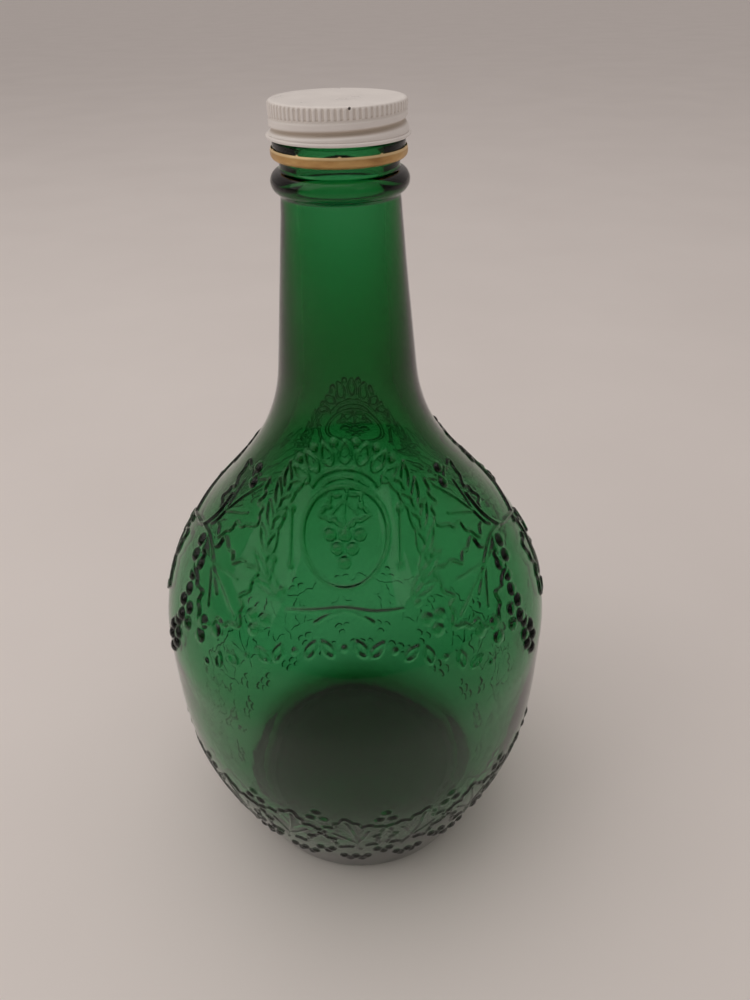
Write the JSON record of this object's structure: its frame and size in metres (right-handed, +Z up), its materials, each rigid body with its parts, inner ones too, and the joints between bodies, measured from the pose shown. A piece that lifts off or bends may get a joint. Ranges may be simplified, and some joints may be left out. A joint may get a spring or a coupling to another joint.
{
  "type": "glass wine jug",
  "caption": "Onion-shaped glass jug with a long tapered neck, embossed vine decoration, a tamper-evident ring and a lined metal screw cap.",
  "frame": {"origin": "middle of the base, on the plane of the ring that the bottle stands on", "axes": "+Z up along the bottle's axis, the front decoration faces -Y"},
  "size_m": [0.1464, 0.1464, 0.289],
  "materials": {
    "green_glass": "clear green container glass, fire-polished",
    "gold_metal": "gold lacquered tinplate, satin",
    "liner_film": "smooth film facing",
    "pulp_board": "raw pulp board",
    "white_enamel": "gloss white enamelled tinplate"
  },
  "bodies": {
    "bottle": {"glass_bottle": "green_glass"},
    "ring": {"tamper_ring": "gold_metal"},
    "seal": {"liner_facing": "liner_film"},
    "wad": {"liner_board": "pulp_board"},
    "cap": {"cap_shell": "white_enamel"}
  },
  "joints": [
    {"name": "ring_turn", "type": "hinge", "parent": "bottle", "child": "ring", "pos_m": [0, 0, 0.2755], "axis": [0, 0, 1], "continuous": true},
    {"name": "cap_lift_off", "type": "slide", "parent": "bottle", "child": "seal", "axis": [0, 0, 1], "range_m": [0, 0.06]},
    {"name": "cap_rise", "type": "slide", "parent": "seal", "child": "wad", "axis": [0, 0, 1], "range_m": [0, 0.0032]},
    {"name": "cap_turn", "type": "hinge", "parent": "wad", "child": "cap", "pos_m": [0, 0, 0.284], "axis": [0, 0, 1], "range_deg": [0, 270]}
  ],
  "couplings": [
    {"joint": "cap_rise", "follows": "cap_turn", "m_per_rad": 0.00067375}
  ]
}
